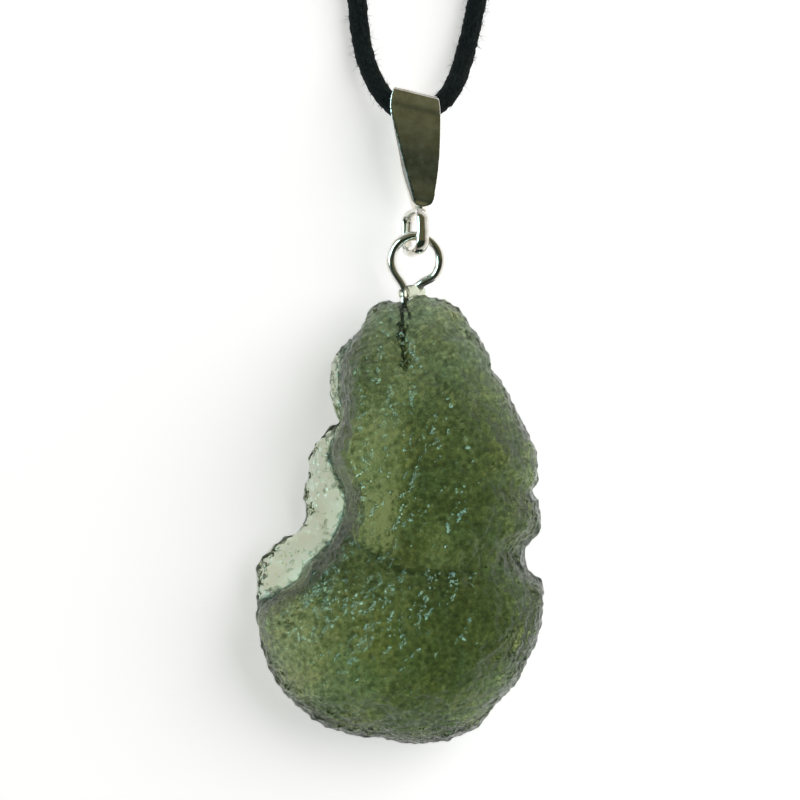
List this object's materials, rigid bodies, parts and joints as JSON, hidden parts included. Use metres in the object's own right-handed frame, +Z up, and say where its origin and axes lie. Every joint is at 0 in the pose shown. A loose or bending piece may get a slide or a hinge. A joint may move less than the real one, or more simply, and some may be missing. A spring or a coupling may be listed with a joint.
{
  "type": "moldavite pendant",
  "caption": "Raw etched moldavite with a thin side ledge, hung by a drilled-in wire eye from a silver link and tapered bail on a black cotton cord, lying on its back.",
  "frame": {"origin": "bottom centre of the pendant's own box, the cord left out: under the middle of the stone's top half, on the surface that it lies on", "axes": "+Z up out of the front face, +Y along the pendant from the stone's foot towards the bail, +X to the right seen from the front"},
  "size_m": [0.022, 0.0761, 0.0088],
  "materials": {
    "green_glass": "clear olive-green natural glass with a pitted, silky, half-dull skin",
    "silver": "polished silver with fine scratches",
    "clear_glue": "clear set glue, slightly cloudy",
    "black_cotton": "twisted black cotton with a fuzz of loose fibres"
  },
  "bodies": {
    "hanger": {"bail": "silver", "bail_link": "silver", "cord": "black_cotton", "cord_coil": "black_cotton", "cord_knot": "black_cotton"},
    "pendant": {"moldavite": "green_glass", "eye_wire": "silver", "glue_bead": "clear_glue"}
  },
  "joints": [
    {"name": "eye_swing", "type": "hinge", "parent": "hanger", "child": "pendant", "pos_m": [0.0011, 0.01238, 0.0032], "axis": [-1, 0, 0], "range_deg": [0, 145]}
  ]
}
